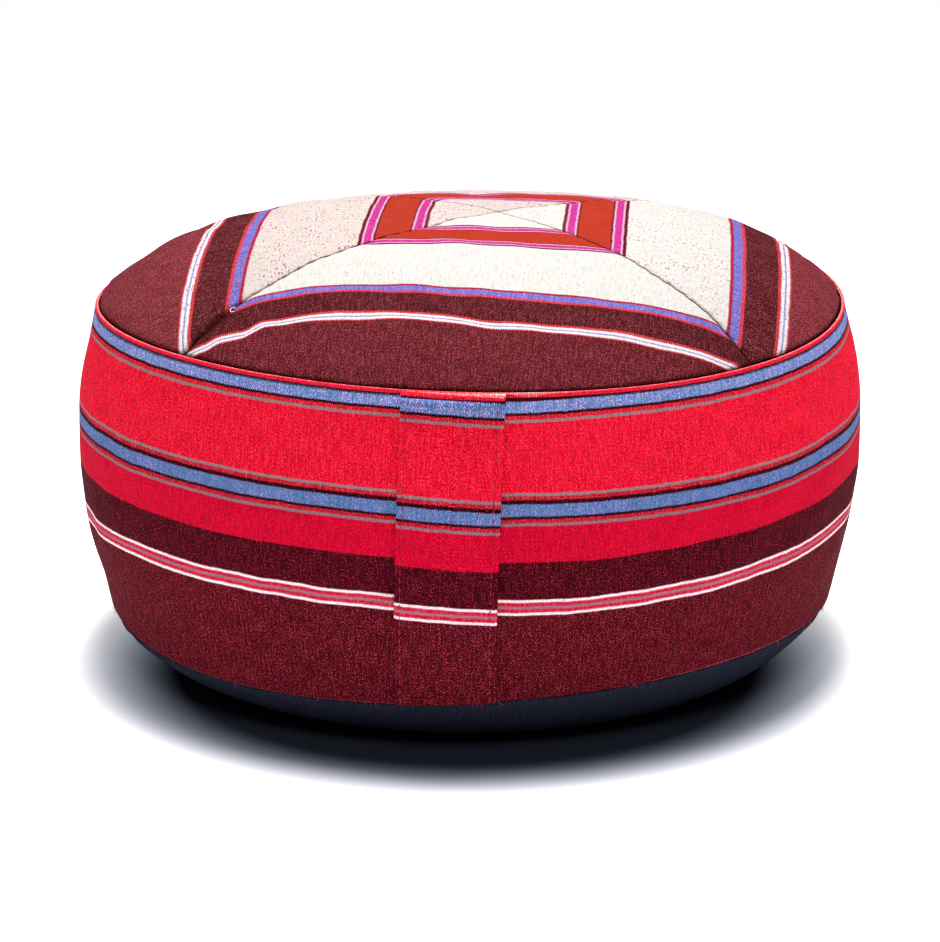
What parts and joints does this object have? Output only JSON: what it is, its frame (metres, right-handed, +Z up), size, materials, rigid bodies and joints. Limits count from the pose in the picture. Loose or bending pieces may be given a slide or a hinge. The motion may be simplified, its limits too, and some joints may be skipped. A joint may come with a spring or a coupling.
{
  "type": "meditation cushion",
  "caption": "Round, firmly filled floor cushion with a striped side band, a mitred striped top, a dark base and a flat carrying strap sewn down its front.",
  "frame": {"origin": "Middle of the flat base, on the surface that the cushion stands on.", "axes": "+Z up out of the crown; the carrying strap is at the front, towards -Y."},
  "size_m": [0.33, 0.3334, 0.1874],
  "materials": {
    "side_band_cotton": "matte woven stripes, red over burgundy",
    "top_cotton": "matte woven stripes, burgundy round cream",
    "base_cotton": "matte plain black",
    "strap_cotton": "matte woven stripes, red over burgundy"
  },
  "bodies": {
    "root": {"filled_body": "side_band_cotton", "top_panel_front": "top_cotton", "top_panel_right": "top_cotton", "top_panel_back": "top_cotton", "top_panel_left": "top_cotton", "base_panel": "base_cotton", "carrying_strap": "strap_cotton"}
  },
  "joints": []
}
